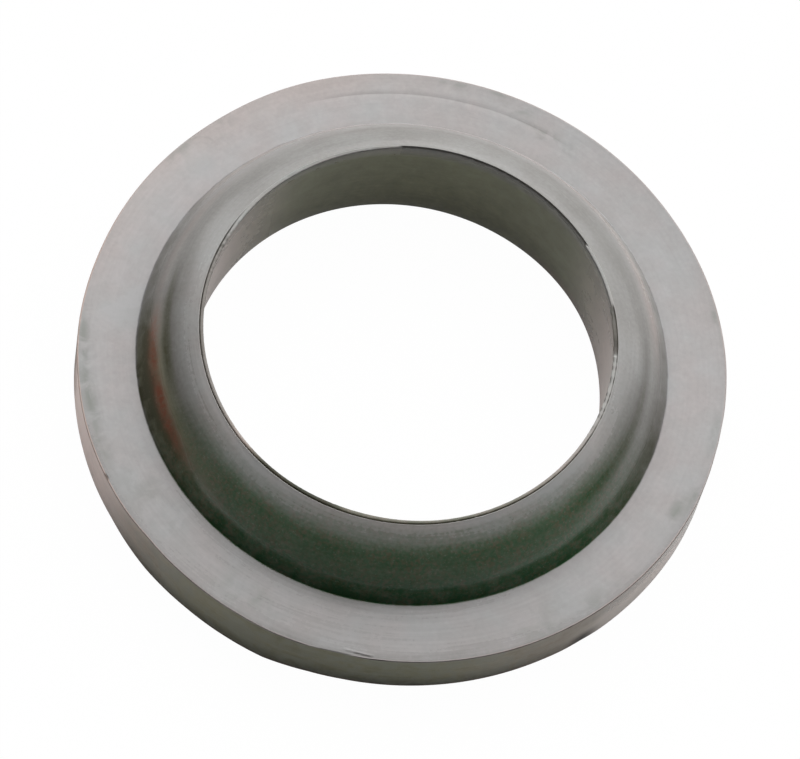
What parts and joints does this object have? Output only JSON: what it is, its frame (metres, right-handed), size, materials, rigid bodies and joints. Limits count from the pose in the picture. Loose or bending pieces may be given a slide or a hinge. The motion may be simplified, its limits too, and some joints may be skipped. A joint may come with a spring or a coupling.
{
  "type": "mack washer",
  "caption": "Round rubber washer moulded in one piece, with a flat flange, a domed collar above it and a straight bore, for sealing a basin waste.",
  "frame": {"origin": "middle of the flat underside, on the axis of the bore", "axes": "+Z is the bore's axis and points from the flat underside to the collar's brim; +X and +Y are any two square directions, because the washer is round"},
  "size_m": [0.0658, 0.0657, 0.0129],
  "materials": {
    "rubber": "moulded, semi-matt, with a grey bloom on its flat faces"
  },
  "bodies": {
    "root": {"waste_washer": "rubber"}
  },
  "joints": []
}
